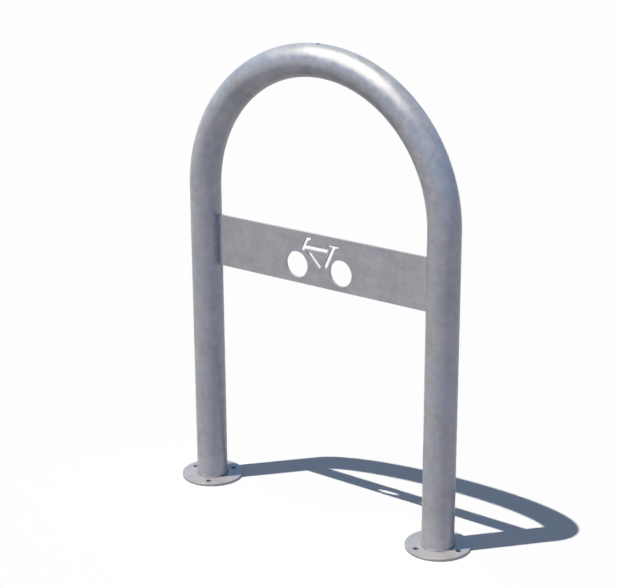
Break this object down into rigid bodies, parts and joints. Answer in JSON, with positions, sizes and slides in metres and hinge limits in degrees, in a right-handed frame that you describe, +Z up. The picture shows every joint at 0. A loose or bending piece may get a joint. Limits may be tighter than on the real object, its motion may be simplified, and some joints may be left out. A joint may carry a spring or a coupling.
{
  "type": "hoop bike rack",
  "caption": "Round steel tube bent into an upside-down U on bolt-down base flanges, with a flat crossbar that has a bicycle figure cut through it; bikes lean on it and lock to it.",
  "frame": {"origin": "on the ground, midway between the two legs", "axes": "+Z up; +X along the hoop's width, from the left leg to the right leg; -Y is the front, the side from which the bicycle figure faces right"},
  "size_m": [0.6618, 0.122, 0.9],
  "materials": {
    "galvanised_tube": "hot-dip zinc, mottled satin grey",
    "galvanised_plate": "hot-dip zinc, mottled satin grey",
    "galvanised_flange": "hot-dip zinc, dull light grey",
    "galvanised_weld": "zinc-coated weld bead"
  },
  "bodies": {
    "root": {"hoop_tube": "galvanised_tube", "crossbar_plate": "galvanised_plate", "left_base_flange": "galvanised_flange", "right_base_flange": "galvanised_flange", "left_base_weld": "galvanised_weld", "right_base_weld": "galvanised_weld", "left_front_crossbar_weld": "galvanised_weld", "left_back_crossbar_weld": "galvanised_weld", "right_front_crossbar_weld": "galvanised_weld", "right_back_crossbar_weld": "galvanised_weld"}
  },
  "joints": []
}
